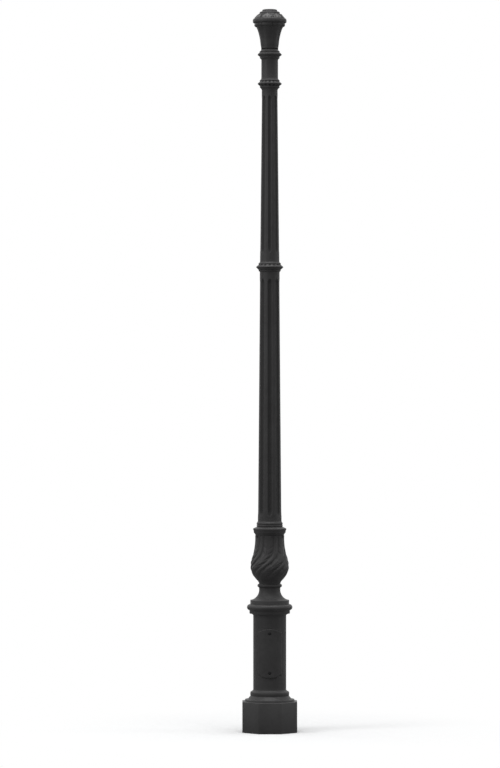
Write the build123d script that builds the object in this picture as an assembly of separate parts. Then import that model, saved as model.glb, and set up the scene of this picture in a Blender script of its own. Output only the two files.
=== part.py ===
from build123d import *
import math
import os

# Cast iron lamp pole, in millimetres. Z is the axis of the pole and Z = 0 is the ground.
# The door faces -Y. Angles round the pole are counted from -Y towards +X, in degrees.

pole_height = 3300.0

# Rounds and hollows are laid in flats, each of which turns by at most this angle
flat_turn = 64.0

# Plinth
plinth_sides = 8
plinth_flats = 250.0
plinth_height = 140.5
plinth_wall = 12.0
plinth_edge = 2.0
foot_flange = 15.0
cable_hole = 110.0
anchor_count = 4
anchor_circle = 170.0
anchor_hole = 18.0

# Mouldings between the plinth and the door column
step_setback = 12.0
step_height = 9.0
slope_setback = 23.5
slope_height = 16.0
foot_ring_overhang = 12.5
foot_ring_height = 18.5
shoulder_height = 9.0

# Door column
column_radius = 75.3
column_height = 340.0
column_wall = 12.0

# Torus group on the column
cavetto_overhang = 17.0
cavetto_height = 8.0
band_height = 15.0
torus_height = 27.0
torus_round = 14.0
cap_overhang = 13.4
cap_height = 20.0

# Cove and neck ring under the vase
cove_foot_inset = 6.0
neck_radius = 48.6
cove_height = 53.0
cove_hollow = 11.5
neck_below_ring = 3.5
neck_ring_height = 17.5
neck_ring_round = 8.2
neck_wall = 11.5

# Vase: height above the neck ring, radius, depth of the grooves and turn of the leaves
vase_stations = (
    (0.0, 48.6, 0.0, -96.0),
    (20.0, 61.5, 1.8, -92.0),
    (48.0, 82.0, 4.2, -76.0),
    (80.0, 88.8, 5.2, -51.0),
    (136.0, 76.8, 4.8, -12.0),
    (220.0, 66.8, 2.4, -5.0),
)
leaf_count = 6
leaf_span = 40.0
leaf_flat_count = 3
rib_flat_count = 2
vase_core_radius = 58.0
vase_core_height = 92.0

# Rim of the vase
rim_radius = 76.0
rim_overhang = 3.0
rim_lip = 3.0
rim_cavetto_height = 17.0
rim_band_height = 7.0
rim_flare_height = 7.0
rim_edge_height = 4.0
rim_slope_height = 7.5

# Foot of the shaft in the vase
spigot_radius = 45.0
spigot_length = 90.0
socket_clearance = 0.4
socket_ledge = 11.0
foot_land = 1.0
foot_bead_radius = 59.6
foot_bead_height = 10.0
foot_bead_round = 1.5
foot_cove_height = 9.0

# Shaft
shaft_foot_radius = 54.2
shaft_middle_low_radius = 45.2
shaft_middle_high_radius = 44.2
shaft_head_radius = 36.2
neck_plain_radius = 38.2
shaft_lower_length = 1131.0
neck_plain_length = 80.0
shaft_bore_low = 30.0
shaft_bore_high = 22.5

# Flutes: width, depth at the foot, and plain lengths left below and above each run
flute_count = 8
lower_flute_width = 21.5
lower_flute_depth = 4.6
lower_flute_margins = (22.0, 30.0)
upper_flute_width = 16.6
upper_flute_depth = 3.8
upper_flute_margins = (39.0, 26.0)

# Collars: radii of the under ring, bead and upper ring, and heights of the seven members
middle_collar_radii = (49.4, 60.6, 50.0)
middle_collar_heights = (8.0, 5.0, 11.0, 5.0, 9.5, 6.0, 9.5)
neck_collar_radii = (44.0, 53.4, 44.2)
neck_collar_heights = (11.0, 7.5, 8.0, 5.5, 8.0, 6.0, 11.0)
top_collar_radii = (44.0, 53.5, 44.9)
top_collar_heights = (8.0, 7.5, 7.0, 6.5, 7.0, 5.0, 8.5)
collar_round = 1.5

# Capital
capital_turn = -12.0
capital_spigot_radius = 23.85
capital_spigot_clearance = 0.15
capital_spigot_length = 58.0
capital_socket_extra = 3.0
capital_spigot_bore = 15.0
joint_inset = 7.0
joint_height = 5.0
capital_wall = 10.0
petal_count = 8

# Bell of the capital: height above its foot, radius and depth of the grooves between its leaves
bell_stations = (
    (0.0, 39.3, 0.0),
    (18.0, 42.0, 1.0),
    (41.0, 44.8, 1.8),
    (64.0, 49.7, 2.8),
    (82.0, 55.0, 3.6),
    (100.0, 62.0, 4.4),
)
bell_flat_count = 3
crown_radius = 71.0
crown_groove = 4.5
crown_height = 17.5
crown_lap = 2.5
crown_underside = 8.0
crown_round = 2.0
crown_flat_count = 4
roll_foot_inset = 2.0
roll_height = 20.5
roll_round = 10.4
dome_foot_radius = 68.5
dome_head_radius = 46.0
dome_height = 24.0
button_height = 18.0
button_face_radius = 28.0
button_edge_radius = 36.5
button_edge = 5.0
petal_thickness = 3.0
petal_bevel = 30.0
petal_fullness = 0.62
petal_sink = 0.5
petal_tip_gap = 3.0
lantern_thread_radius = 12.06
lantern_thread_length = 34.0

# Inspection door and its opening in the column
door_foot = 248.0
door_height = 228.0
door_width = 112.0
door_rise = 18.0
door_gap = 0.8
door_ledge = 8.0
door_thickness = 9.0
door_proud = 4.0
door_edge = 3.0
door_seat_clearance = 0.3

# Door screws: M6 socket heads sunk in counterbores, tapped into two lugs
screw_inset = 24.0
screw_radius = 3.0
screw_length = 18.0
screw_head_radius = 5.25
screw_head_height = 3.3
screw_hex = 4.0
screw_hex_depth = 2.0
screw_hole_clearance = 0.4
screw_thread_clearance = 0.1
counterbore_radius = 7.2
counterbore_depth = 4.2
lug_width = 30.0
lug_thickness = 10.0
lug_length = 28.0

# Set screws that lock the shaft: M10, in the plain band under the rim
set_screw_count = 3
set_screw_first = 60.0
set_screw_radius = 5.0
set_screw_length = 20.0
set_screw_hex = 5.0
set_screw_hex_depth = 5.0
set_screw_drop = 5.0
set_screw_tip_gap = 0.1

# Earth terminal behind the door: M8 bolt on a boss
earth_height = 330.0
earth_boss_radius = 14.0
earth_boss_height = 10.0
earth_tap_depth = 15.0
earth_bolt_radius = 4.0
earth_bolt_length = 14.0
earth_head_flats = 13.0
earth_head_height = 5.3

# Levels, from the ground up
column_foot = plinth_height + step_height + slope_height + foot_ring_height + shoulder_height
column_head = column_foot + column_height
cap_head = column_head + cavetto_height + band_height + torus_height + cap_height
cove_head = cap_head + cove_height
vase_foot = cove_head + neck_below_ring + neck_ring_height
vase_head = vase_foot + vase_stations[-1][0]
rim_foot = vase_head - rim_lip
base_head = (
    rim_foot
    + rim_cavetto_height
    + rim_band_height
    + rim_flare_height
    + rim_edge_height
    + rim_slope_height
)
shaft_foot = base_head + 2 * foot_bead_height + foot_cove_height
middle_collar_foot = shaft_foot + shaft_lower_length
middle_collar_head = middle_collar_foot + sum(middle_collar_heights)
capital_height = (
    joint_height
    + bell_stations[-1][0]
    - crown_lap
    + crown_height
    + roll_height
    + dome_height
    + button_height
)
shaft_head = pole_height - capital_height
top_collar_foot = shaft_head - sum(top_collar_heights)
neck_collar_head = top_collar_foot - neck_plain_length
neck_collar_foot = neck_collar_head - sum(neck_collar_heights)

# Radii that follow from the sizes above
column_bore = column_radius - column_wall
neck_bore = neck_radius - neck_wall
socket_radius = spigot_radius + socket_clearance
socket_foot = base_head - spigot_length
door_seat = column_radius + door_proud - door_thickness
door_head = door_foot + door_height


class Outline:
    """Half of a turned form, traced upwards: radius against height."""

    def __init__(self, radius, height):
        self.start = (radius, height)
        self.point = self.start
        self.edges = []

    def to(self, radius, rise, bulge=0.0):
        """Run on to a radius and up by a rise; a bulge pushes the middle of the run outwards."""
        across = radius - self.point[0]
        chord = math.hypot(across, rise)
        half_turn = 2 * math.atan2(2 * abs(bulge), chord)
        flats = max(1, math.ceil(2 * math.degrees(half_turn) / flat_turn))
        start = self.point
        for i in range(1, flats + 1):
            along = i / flats
            swell = 0.0
            if flats > 1:
                turn = half_turn * (2 * along - 1)
                along = (1 + math.sin(turn) / math.sin(half_turn)) / 2
                swell = math.cos(turn) - math.cos(half_turn)
                swell *= math.copysign(chord / (2 * math.sin(half_turn)), bulge)
            end = (
                start[0] + across * along + swell * rise / chord,
                start[1] + rise * along - swell * across / chord,
            )
            self.edges.append(Line(self.point, end))
            self.point = end

    def turned(self):
        """Close the outline along the axis and turn it into a solid."""
        corners = [self.point, (0, self.point[1]), (0, self.start[1]), self.start]
        closing = [Line(a, b) for a, b in zip(corners, corners[1:]) if a != b]
        face = make_face(self.edges + closing)
        return revolve(Plane.XZ * face, Axis.Z)


def at(radius, angle, height):
    """Point at a radius and an angle round the pole."""
    turn = math.radians(angle)
    return (radius * math.sin(turn), -radius * math.cos(turn), height)


def outward(radius, angle, height):
    """Plane that faces away from the axis."""
    return Plane(origin=at(radius, angle, height), x_dir=at(1, angle + 90, 0), z_dir=at(1, angle, 0))


def rod(radius, low, high):
    """Upright cylinder on the axis between two heights."""
    return Pos(0, 0, low) * extrude(Circle(radius), high - low)


def tube(inner, outer, low, high):
    """Upright tube on the axis between two heights."""
    return rod(outer, low, high) - rod(inner, low, high)


def octagon(flats, low, high):
    """Upright prism of the plinth's section, with one side square to the front."""
    section = RegularPolygon(flats / 2, plinth_sides, major_radius=False, rotation=180 / plinth_sides)
    return Pos(0, 0, low) * extrude(section, high - low)


def hex_prism(flats, length):
    return extrude(RegularPolygon(flats / 2, 6, major_radius=False), length)


def lobed_wire(height, radius, depth, start, lobes):
    """Closed ring of swelling lobes that meet in grooves; a lobe is its angle and its flats."""
    points = []
    for span, flats in lobes:
        for i in range(flats):
            share = i / flats
            swell = depth * (1 - math.sin(math.pi * share))
            points.append(at(radius - swell, start + span * share, height))
        start += span
    return Wire([Line(a, b) for a, b in zip(points, points[1:] + points[:1])])


def plinth():
    block = octagon(plinth_flats, 0, plinth_height)
    return chamfer(block.edges().filter_by(Axis.Z), plinth_edge)


def base_mouldings():
    """Turned stack from the step on the plinth up to the neck ring."""
    step_radius = plinth_flats / 2 - step_setback
    outline = Outline(step_radius, plinth_height - plinth_edge)
    outline.to(step_radius, plinth_edge + step_height)
    outline.to(plinth_flats / 2 - slope_setback, 0)
    outline.to(column_radius + foot_ring_overhang, slope_height)
    outline.to(column_radius + foot_ring_overhang, foot_ring_height)
    outline.to(column_radius, shoulder_height)
    outline.to(column_radius, column_height)
    outline.to(column_radius + cavetto_overhang, cavetto_height)
    outline.to(column_radius + cavetto_overhang, band_height)
    outline.to(column_radius + cavetto_overhang, torus_height, torus_round)
    outline.to(column_radius + cap_overhang, 0)
    outline.to(column_radius + cap_overhang, cap_height)
    outline.to(column_radius + cap_overhang - cove_foot_inset, 0)
    outline.to(neck_radius, cove_height, -cove_hollow)
    outline.to(neck_radius, neck_below_ring)
    outline.to(neck_radius, neck_ring_height, neck_ring_round)
    return outline.turned()


def vase_body():
    """Vase with broad leaves and narrow ribs that turn round its belly and end plain."""
    rib_span = 360 / leaf_count - leaf_span
    lobes = ((leaf_span, leaf_flat_count), (rib_span, rib_flat_count)) * leaf_count
    wires = [
        lobed_wire(vase_foot + rise, radius, depth, turn - leaf_span / 2, lobes)
        for rise, radius, depth, turn in vase_stations
    ]
    return Solid.make_loft(wires, ruled=True)


def vase_rim():
    outline = Outline(vase_stations[-1][1] - rim_lip, rim_foot)
    outline.to(rim_radius - rim_overhang, rim_cavetto_height)
    outline.to(rim_radius - rim_overhang, rim_band_height)
    outline.to(rim_radius, rim_flare_height)
    outline.to(rim_radius, rim_edge_height)
    outline.to(foot_bead_radius + foot_land, rim_slope_height)
    return outline.turned()


def base_core():
    """Space inside the base: plinth, column, neck, vase and the socket for the shaft."""
    plinth_roof = plinth_height - plinth_wall
    hollow = octagon(plinth_flats - 2 * plinth_wall, foot_flange, plinth_roof)
    outline = Outline(column_bore, plinth_roof)
    outline.to(column_bore, cap_head - cap_height - plinth_roof)
    outline.to(neck_bore, 0)
    outline.to(neck_bore, socket_foot - socket_ledge - vase_core_height - outline.point[1])
    outline.to(vase_core_radius, 0)
    outline.to(vase_core_radius, vase_core_height)
    outline.to(socket_radius, 0)
    outline.to(socket_radius, socket_ledge + spigot_length)
    return hollow + outline.turned()


def anchor_holes():
    hole = extrude(Circle(anchor_hole / 2), foot_flange)
    turns = [180 / anchor_count + 360 / anchor_count * i for i in range(anchor_count)]
    return [Pos(*at(anchor_circle / 2, turn, 0)) * hole for turn in turns]


def door_prism(margin):
    """Door outline, drawn in by a margin, run from the axis out through the front wall."""
    half_width = door_width / 2
    arch_radius = (half_width**2 + door_rise**2) / (2 * door_rise)
    side_drop = arch_radius - margin
    side_drop -= math.sqrt((arch_radius - margin) ** 2 - (half_width - margin) ** 2)
    foot = door_foot + margin
    head = door_head - margin
    side = half_width - margin
    face = make_face(
        [
            ThreePointArc((-side, foot + side_drop), (0, foot), (side, foot + side_drop)),
            Line((side, foot + side_drop), (side, head - side_drop)),
            ThreePointArc((side, head - side_drop), (0, head), (-side, head - side_drop)),
            Line((-side, head - side_drop), (-side, foot + side_drop)),
        ]
    )
    return extrude(Plane.XZ * face, column_radius + 2 * door_proud)


def door_shell(margin, inner, outer):
    """Slice of a tube inside the door outline."""
    return door_prism(margin) & tube(inner, outer, door_foot, door_head)


def door_lugs():
    """Two curved lugs behind the door for its screws."""
    ring = tube(door_seat - lug_thickness, door_seat, door_foot, door_head)
    reach = Pos(0, -column_radius / 2, 0)
    lower = reach * Box(lug_width, column_radius, lug_length, align=(Align.CENTER, Align.CENTER, Align.MIN))
    foot = Pos(0, 0, door_foot) * lower
    head = Pos(0, 0, door_head - lug_length) * lower
    return ring & (foot + head)


def screw_levels():
    return (door_foot + screw_inset, door_head - screw_inset)


def base_casting():
    body = plinth() + base_mouldings() + vase_body() + vase_rim()
    body -= base_core()
    body -= rod(cable_hole / 2, 0, foot_flange)
    for hole in anchor_holes():
        body -= hole
    body -= door_shell(0, door_seat - door_seat_clearance, column_radius + door_proud)
    body -= door_shell(door_ledge, column_bore - column_wall / 2, column_radius)
    body += door_lugs()
    for level in screw_levels():
        hole = extrude(Circle(screw_radius + screw_thread_clearance), column_radius)
        body -= outward(0, 0, level) * hole
    body += earth_face() * extrude(Circle(earth_boss_radius), earth_boss_height + column_wall / 2)
    body -= earth_face() * extrude(Circle(earth_bolt_radius + screw_thread_clearance), earth_tap_depth)
    for angle in set_screw_angles():
        hole = extrude(Circle(set_screw_radius + screw_thread_clearance), rim_radius)
        body -= outward(0, angle, set_screw_level()) * hole
    return body


def screw_seat():
    """Distance from the axis to the seat of a screw's head."""
    return column_radius + door_proud - counterbore_depth


def front_edges(plate):
    """Edges of the door's outline where it meets its curved face."""
    face_radius = column_radius + door_proud
    face = max(plate.faces().filter_by(GeomType.CYLINDER), key=lambda face: face.radius)
    return face.edges()


def inspection_door():
    plate = door_shell(door_gap, door_seat, column_radius + door_proud)
    plate = chamfer(front_edges(plate), door_edge)
    for level in screw_levels():
        hole = extrude(Circle(screw_radius + screw_hole_clearance), column_radius + door_proud)
        counterbore = extrude(Circle(counterbore_radius), counterbore_depth)
        plate -= outward(0, 0, level) * hole
        plate -= outward(screw_seat(), 0, level) * counterbore
    return plate


def socket_screw():
    """Socket head screw along Z, with the underside of its head at Z = 0."""
    outline = Outline(screw_radius, -screw_length)
    outline.to(screw_radius, screw_length)
    outline.to(screw_head_radius, 0)
    outline.to(screw_head_radius, screw_head_height)
    socket = Pos(0, 0, screw_head_height - screw_hex_depth) * hex_prism(screw_hex, screw_hex_depth)
    return outline.turned() - socket


def door_screw(level):
    return outward(screw_seat(), 0, level) * socket_screw()


def set_screw_angles():
    return [set_screw_first + 360 / set_screw_count * i for i in range(set_screw_count)]


def set_screw_level():
    return vase_head - set_screw_drop


def set_screw(angle):
    body = extrude(Circle(set_screw_radius), set_screw_length)
    socket = Pos(0, 0, set_screw_length - set_screw_hex_depth) * hex_prism(set_screw_hex, set_screw_hex_depth)
    return outward(spigot_radius + set_screw_tip_gap, angle, set_screw_level()) * (body - socket)


def earth_face():
    """Face of the earth boss, on the wall behind the door."""
    return outward(column_bore - earth_boss_height, 180, earth_height)


def earth_bolt():
    shank = extrude(Circle(earth_bolt_radius), earth_bolt_length)
    head = Pos(0, 0, -earth_head_height) * hex_prism(earth_head_flats, earth_head_height)
    return earth_face() * (shank + head)


def add_collar(outline, radii, heights, next_radius):
    """Collar on the shaft: lead, under ring, flare, bead, slope, upper ring and lead."""
    under_radius, bead_radius, ring_radius = radii
    lead, under, flare, bead, slope, ring, upper = heights
    outline.to(under_radius, lead)
    outline.to(under_radius, under)
    outline.to(bead_radius, flare)
    outline.to(bead_radius, bead, collar_round)
    outline.to(ring_radius, slope)
    outline.to(ring_radius, ring)
    outline.to(next_radius, upper)


def shaft_outline():
    outline = Outline(spigot_radius, base_head - spigot_length)
    outline.to(spigot_radius, spigot_length)
    outline.to(foot_bead_radius - foot_bead_round, 0)
    outline.to(foot_bead_radius - foot_bead_round, foot_bead_height, foot_bead_round)
    outline.to(foot_bead_radius - foot_bead_round, foot_bead_height, foot_bead_round)
    outline.to(shaft_foot_radius, foot_cove_height)
    outline.to(shaft_middle_low_radius, shaft_lower_length)
    add_collar(outline, middle_collar_radii, middle_collar_heights, shaft_middle_high_radius)
    outline.to(shaft_head_radius, neck_collar_foot - middle_collar_head)
    add_collar(outline, neck_collar_radii, neck_collar_heights, neck_plain_radius)
    outline.to(neck_plain_radius, neck_plain_length)
    add_collar(outline, top_collar_radii, top_collar_heights, bell_stations[0][1])
    return outline


def shaft_core():
    """Cable way through the shaft and the tapped socket for the capital."""
    low = base_head - spigot_length
    socket = capital_spigot_length + capital_socket_extra
    socket_radius = capital_spigot_radius + capital_spigot_clearance
    outline = Outline(shaft_bore_low, low)
    outline.to(shaft_bore_low, middle_collar_foot - low)
    outline.to(shaft_bore_high, middle_collar_head - middle_collar_foot)
    outline.to(shaft_bore_high, shaft_head - socket - middle_collar_head)
    outline.to(socket_radius, 0)
    outline.to(socket_radius, socket)
    return outline.turned()


def flutes(low, high, low_surface, high_surface, width, depth):
    """Ring of cutters that follow the taper of the shaft; their ends slope out to its surface."""
    half = width / 2
    sagitta = depth - (low_surface - math.sqrt(low_surface**2 - half**2))
    cutter = (half**2 + sagitta**2) / (2 * sagitta)
    stand_off = cutter - sagitta
    foot = Vector(0, -math.sqrt(low_surface**2 - half**2) - stand_off, low)
    head = Vector(0, -math.sqrt(high_surface**2 - half**2) - stand_off, high)
    length = (head - foot).length
    reach = (cutter + stand_off) * half / sagitta
    side = Polygon(
        (-cutter, -reach), (cutter, half), (cutter, length - half), (-cutter, length + reach), align=None
    )
    rod_blank = Pos(0, 0, -reach) * extrude(Circle(cutter), length + 2 * reach)
    blank = rod_blank & Plane.YZ * extrude(side, cutter, both=True)
    blank_at_front = Plane(origin=foot, x_dir=(1, 0, 0), z_dir=head - foot) * blank
    return [Rot(0, 0, 360 / flute_count * i) * blank_at_front for i in range(flute_count)]


def shaft():
    body = shaft_outline().turned() - shaft_core()
    lower = flutes(
        shaft_foot + lower_flute_margins[0],
        middle_collar_foot - lower_flute_margins[1],
        shaft_foot_radius,
        shaft_middle_low_radius,
        lower_flute_width,
        lower_flute_depth,
    )
    upper = flutes(
        middle_collar_head + upper_flute_margins[0],
        neck_collar_foot - upper_flute_margins[1],
        shaft_middle_high_radius,
        shaft_head_radius,
        upper_flute_width,
        upper_flute_depth,
    )
    return body - (lower + upper)


def capital_levels():
    """Heights of the bell's foot, the crown, the roll, the dome and the button."""
    bell_foot = shaft_head + joint_height
    crown_foot = bell_foot + bell_stations[-1][0] - crown_lap
    roll_foot = crown_foot + crown_height
    dome_foot = roll_foot + roll_height
    return bell_foot, crown_foot, roll_foot, dome_foot, dome_foot + dome_height


def capital_body():
    """Turned body: spigot, joint groove, roll, dome and button."""
    _, crown_foot, roll_foot, _, _ = capital_levels()
    stem = bell_stations[0][1] - joint_inset
    outline = Outline(capital_spigot_radius, shaft_head - capital_spigot_length)
    outline.to(capital_spigot_radius, capital_spigot_length)
    outline.to(stem, 0)
    outline.to(stem, crown_foot - shaft_head + 2 * crown_lap)
    outline.to(crown_radius - crown_groove - roll_foot_inset, 0)
    outline.to(crown_radius - roll_foot_inset, roll_foot - outline.point[1])
    outline.to(dome_foot_radius, roll_height, roll_round)
    outline.to(dome_head_radius, dome_height)
    outline.to(button_edge_radius, button_height - button_edge)
    outline.to(button_face_radius, button_edge)
    return outline.turned()


def bell():
    bell_foot = capital_levels()[0]
    lobes = ((360 / petal_count, bell_flat_count),) * petal_count
    start = capital_turn - 180 / petal_count
    wires = [
        lobed_wire(bell_foot + rise, radius, depth, start, lobes)
        for rise, radius, depth in bell_stations
    ]
    return Solid.make_loft(wires)


def crown():
    """Scalloped ring where the leaves of the bell curl over."""
    crown_foot = capital_levels()[1]
    lobes = ((360 / petal_count, crown_flat_count),) * petal_count
    start = capital_turn - 180 / petal_count
    stations = (
        (0, crown_radius - crown_underside),
        (crown_underside / 2, crown_radius - crown_round / 2),
        (crown_underside, crown_radius),
        (crown_height, crown_radius - crown_round / 2),
    )
    wires = [
        lobed_wire(crown_foot + rise, radius, crown_groove, start, lobes)
        for rise, radius in stations
    ]
    return Solid.make_loft(wires, ruled=True)


def petals():
    """Pointed leaves that stand proud of the dome."""
    dome_foot = capital_levels()[3]
    slope = math.hypot(dome_height, dome_foot_radius - dome_head_radius)
    half_width = dome_foot_radius * math.sin(math.radians(180 / petal_count))
    tip = slope - petal_tip_gap
    face = make_face(
        [
            ThreePointArc((half_width, 0), (half_width * petal_fullness, tip / 2), (0, tip)),
            ThreePointArc((0, tip), (-half_width * petal_fullness, tip / 2), (-half_width, 0)),
            Line((-half_width, 0), (half_width, 0)),
        ]
    )
    leaf = extrude(face, petal_thickness, taper=petal_bevel)
    lean = Vector(0, dome_foot_radius - dome_head_radius, dome_height)
    normal = Vector(0, -dome_height, dome_foot_radius - dome_head_radius)
    ground = Plane(origin=(0, -dome_foot_radius, dome_foot), x_dir=lean.cross(normal), z_dir=normal)
    placed = ground.offset(-petal_sink) * leaf
    return [
        Rot(0, 0, capital_turn + 360 / petal_count * i) * placed for i in range(petal_count)
    ]


def capital_core():
    """Space inside the capital: spigot bore, hollow bell and tapped hole for the lantern."""
    bell_foot, crown_foot, _, _, _ = capital_levels()
    ceiling = pole_height - lantern_thread_length
    low = shaft_head - capital_spigot_length
    hollow = bell_stations[1][1] - bell_stations[1][2] - capital_wall
    outline = Outline(capital_spigot_bore, low)
    outline.to(capital_spigot_bore, bell_foot + bell_stations[1][0] - low)
    outline.to(hollow, 0)
    outline.to(hollow, ceiling - outline.point[1])
    outline.to(lantern_thread_radius, 0)
    outline.to(lantern_thread_radius, lantern_thread_length)
    return outline.turned()


def capital():
    body = capital_body() + bell() + crown()
    for petal in petals():
        body += petal
    return body - capital_core()


def build():
    lower_level, upper_level = screw_levels()
    nodes = {
        "base_casting": base_casting(),
        "inspection_door": inspection_door(),
        "door_screw_lower": door_screw(lower_level),
        "door_screw_upper": door_screw(upper_level),
        "earth_bolt": earth_bolt(),
        "shaft": shaft(),
        "capital": capital(),
    }
    for number, angle in enumerate(set_screw_angles(), start=1):
        nodes[f"shaft_set_screw_{number}"] = set_screw(angle)
    os.makedirs("parts", exist_ok=True)
    for name, solid in nodes.items():
        export_step(solid, f"parts/{name}.step")


build()
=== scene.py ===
import math

import bmesh
import bpy
from mathutils import Matrix, Vector


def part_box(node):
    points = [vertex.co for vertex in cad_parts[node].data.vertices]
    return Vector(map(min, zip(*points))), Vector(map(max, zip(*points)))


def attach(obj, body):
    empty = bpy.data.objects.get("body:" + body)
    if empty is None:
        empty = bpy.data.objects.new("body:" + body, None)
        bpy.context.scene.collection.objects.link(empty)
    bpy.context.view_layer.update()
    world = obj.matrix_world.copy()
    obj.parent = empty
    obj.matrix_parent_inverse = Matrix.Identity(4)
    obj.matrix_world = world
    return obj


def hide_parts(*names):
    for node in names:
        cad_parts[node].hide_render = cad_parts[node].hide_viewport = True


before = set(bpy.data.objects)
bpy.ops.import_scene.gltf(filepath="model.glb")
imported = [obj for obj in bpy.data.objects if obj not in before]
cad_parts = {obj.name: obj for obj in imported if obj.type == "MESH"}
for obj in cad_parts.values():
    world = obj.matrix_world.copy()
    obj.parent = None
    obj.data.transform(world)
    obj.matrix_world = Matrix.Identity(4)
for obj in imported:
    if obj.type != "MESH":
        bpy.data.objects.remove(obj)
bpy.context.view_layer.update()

# Cast iron lamp pole, in metres. Z is the axis of the pole and Z = 0 is the ground.
# The door faces -Y. Angles round the pole are counted from -Y towards +X, in degrees.

# Fineness of the turned forms
turn_steps = 160
fitting_steps = 40
round_step = 12.0
edge_softness = 0.0011
smooth_corner = 155
corner_pull = 0.45
sharp_angle = 32.0
fitting_sharp_angle = 40.0
fitting_softness = 0.0003
weld_distance = 1e-6

# Plinth
plinth_sides = 8
plinth_flats = 0.250
plinth_height = 0.1405
plinth_edge = 0.002

# Mouldings between the plinth and the door column
step_setback = 0.012
step_height = 0.009
slope_setback = 0.0235
slope_height = 0.016
foot_ring_overhang = 0.0125
foot_ring_height = 0.0185
foot_ring_round = 0.0012
shoulder_height = 0.009

# Door column
column_radius = 0.0753
column_height = 0.340
column_wall = 0.012
column_rows = 24

# Torus group on the column
cavetto_overhang = 0.017
cavetto_height = 0.008
cavetto_hollow = 0.0026
band_height = 0.015
torus_height = 0.027
torus_round = 0.0115
cap_overhang = 0.0134
cap_height = 0.020
cap_round = 0.0025

# Cove and neck ring under the vase
cove_foot_inset = 0.0035
neck_radius = 0.0486
cove_height = 0.053
cove_hollow = 0.0115
neck_below_ring = 0.0035
neck_ring_height = 0.0175
neck_ring_round = 0.0074

# Vase: height above the neck ring, radius, depth of the grooves and turn of the leaves
vase_stations = (
    (0.0, 0.0486, 0.0, -96.0),
    (0.010, 0.0526, 0.0006, -95.0),
    (0.022, 0.0635, 0.0012, -91.0),
    (0.038, 0.0758, 0.0022, -83.0),
    (0.056, 0.0848, 0.0036, -71.0),
    (0.078, 0.0886, 0.0052, -53.0),
    (0.104, 0.0852, 0.0052, -31.0),
    (0.133, 0.0774, 0.0048, -13.0),
    (0.165, 0.0704, 0.0042, -6.0),
    (0.196, 0.0672, 0.0036, -5.0),
    (0.214, 0.0669, 0.0028, -5.0),
    (0.220, 0.0668, 0.0, -5.0),
)
vase_depth = 0.0052
# painted shade in the grooves between the leaves of the vase
vase_shade = 0.45
leaf_count = 6
leaf_span = 40.0
leaf_fullness = 0.7
leaf_belly = (0.012, 0.040)
leaf_tip = (0.150, 0.200)
leaf_veins = 3
leaf_vein_depth = 0.22
leaf_lobe = 0.026
leaf_lobe_sweep = 0.8
leaf_notch = 0.65
rib_height = 0.85
rib_fullness = 0.8
vase_columns = 40
vase_row = 0.0022

# Rim of the vase
rim_radius = 0.076
rim_overhang = 0.003
rim_lip = 0.003
rim_cavetto_height = 0.017
rim_cavetto_hollow = 0.0018
rim_band_height = 0.007
rim_flare_height = 0.007
rim_edge_height = 0.004
rim_slope_height = 0.0075

# Set screws that lock the shaft
set_screw_count = 3
set_screw_first = 60.0
set_screw_drop = 0.005
set_screw_hole_radius = 0.0051
set_screw_hole_depth = 0.006

# Foot of the shaft in the vase
spigot_radius = 0.045
spigot_length = 0.090
foot_bead_radius = 0.0596
foot_bead_height = 0.010
foot_bead_round = 0.0014
foot_cove_height = 0.009
foot_cove_hollow = 0.0012

# Shaft
shaft_foot_radius = 0.0542
shaft_middle_low_radius = 0.0452
shaft_middle_high_radius = 0.0442
shaft_head_radius = 0.0362
neck_plain_radius = 0.0382
shaft_lower_length = 1.131
neck_plain_length = 0.080

# Flutes: width, depth at the foot, and plain lengths left below and above each run.
# The length of a rounded end is a share of half the flute's width.
flute_count = 8
flute_columns = 12
land_columns = 8
lower_flute_width = 0.0215
lower_flute_depth = 0.0046
lower_flute_margins = (0.022, 0.030)
upper_flute_width = 0.0166
upper_flute_depth = 0.0038
upper_flute_margins = (0.039, 0.026)
flute_row = 0.070
flute_end_length = 2.2
flute_end_rows = 9
flute_end_margin = 1.25
flute_run_out = 2.5
flute_tip_width = 0.12
# painted shade in the flutes, and the share of their depth over which it deepens
flute_shade = 0.68
flute_dark_share = 0.4

# Collars: radii of the under ring, bead and upper ring, and heights of the seven members
middle_collar_radii = (0.0494, 0.0606, 0.0500)
middle_collar_heights = (0.008, 0.005, 0.011, 0.005, 0.0095, 0.006, 0.0095)
neck_collar_radii = (0.0440, 0.0534, 0.0442)
neck_collar_heights = (0.011, 0.0075, 0.008, 0.0055, 0.008, 0.006, 0.011)
top_collar_radii = (0.0440, 0.0535, 0.0449)
top_collar_heights = (0.008, 0.0075, 0.007, 0.0065, 0.007, 0.005, 0.0085)
collar_hollow = 0.0016
collar_round = 0.0013
gadroon_count = 16
gadroon_depth = 0.0022
# painted shade between the lobes of the collars, and painted highlight on their tops
gadroon_shade = 0.8
gadroon_highlight = 0.55

# Capital
capital_turn = -12.0
joint_inset = 0.0070
joint_height = 0.005
# ring of black painted shade in the joint under the bell
shade_ring_inset = 0.0006
shade_ring_gap = 0.0001
petal_count = 8
bell_stations = (
    (0.0, 0.0393, 0.0006),
    (0.018, 0.0420, 0.0012),
    (0.041, 0.0448, 0.0018),
    (0.064, 0.0497, 0.0028),
    (0.082, 0.0550, 0.0036),
    (0.100, 0.0620, 0.0044),
)
bell_row = 0.003
bell_fullness = 0.6
bell_vein = 0.22
bell_vein_width = 0.05
crown_radius = 0.0708
crown_groove = 0.0030
crown_height = 0.0175
crown_lap = 0.0025
crown_underside = 0.008
crown_curl = 0.0052
crown_round = 0.004
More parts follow.
